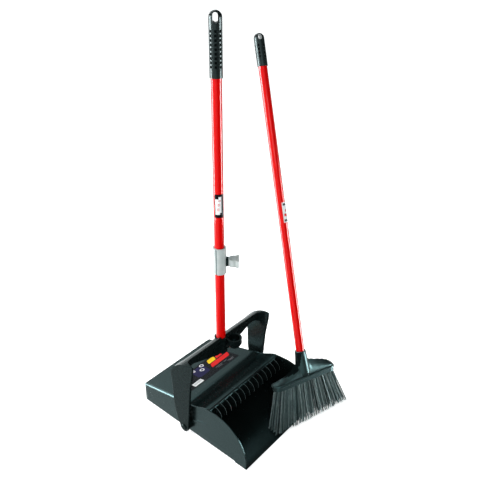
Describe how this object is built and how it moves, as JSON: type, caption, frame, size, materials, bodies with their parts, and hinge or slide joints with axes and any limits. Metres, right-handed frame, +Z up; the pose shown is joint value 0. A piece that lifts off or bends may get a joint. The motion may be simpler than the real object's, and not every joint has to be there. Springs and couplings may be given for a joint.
{
  "type": "dust pan and brush set",
  "caption": "Long-handled lobby dust pan with a folding upright handle, comb teeth over the mouth and a broom clip, with its matching long-handled broom.",
  "frame": {"origin": "on the floor plane, directly below the axis of the pan's upright handle", "axes": "+Z up along the handle, -Y out of the pan's mouth, X across the pan"},
  "size_m": [0.406, 0.4285, 0.986],
  "materials": {
    "black_plastic": "satin moulded plastic",
    "pan_black": "satin-gloss moulded plastic",
    "red_tube": "gloss red coating on thin steel tube",
    "grey_clip": "light grey moulded plastic",
    "sticker": "printed sticker",
    "fastener": "dark zinc",
    "bristle": "charcoal synthetic filament"
  },
  "bodies": {
    "pan": {"pan_shell": "pan_black", "deck_label": "sticker", "pivot_pin_left": "black_plastic", "pivot_pin_right": "black_plastic"},
    "handle": {"yoke": "pan_black", "pan_tube": "red_tube", "pan_grip": "black_plastic", "pan_tube_sticker": "sticker"},
    "clip": {"clip_sleeve": "grey_clip", "clip_jaw": "grey_clip", "clip_block": "black_plastic", "clip_screw": "fastener"},
    "broom": {"broom_tube": "red_tube", "broom_grip": "black_plastic", "broom_sticker": "sticker", "broom_head": "pan_black", "bristle_block": "black_plastic", "tufts_1": "bristle", "tufts_2": "bristle", "tufts_3": "bristle", "tufts_4": "bristle"}
  },
  "joints": [
    {"name": "handle_fold", "type": "hinge", "parent": "pan", "child": "handle", "pos_m": [0, -0.004, 0.019], "axis": [1, 0, 0], "range_deg": [-60, 30]},
    {"name": "clip_swivel", "type": "hinge", "parent": "handle", "child": "clip", "pos_m": [0, 0, 0.432], "axis": [0, 0, 1], "continuous": true},
    {"name": "broom_lift", "type": "slide", "parent": "pan", "child": "broom", "axis": [0, 0, 1], "range_m": [0, 0.2]}
  ]
}
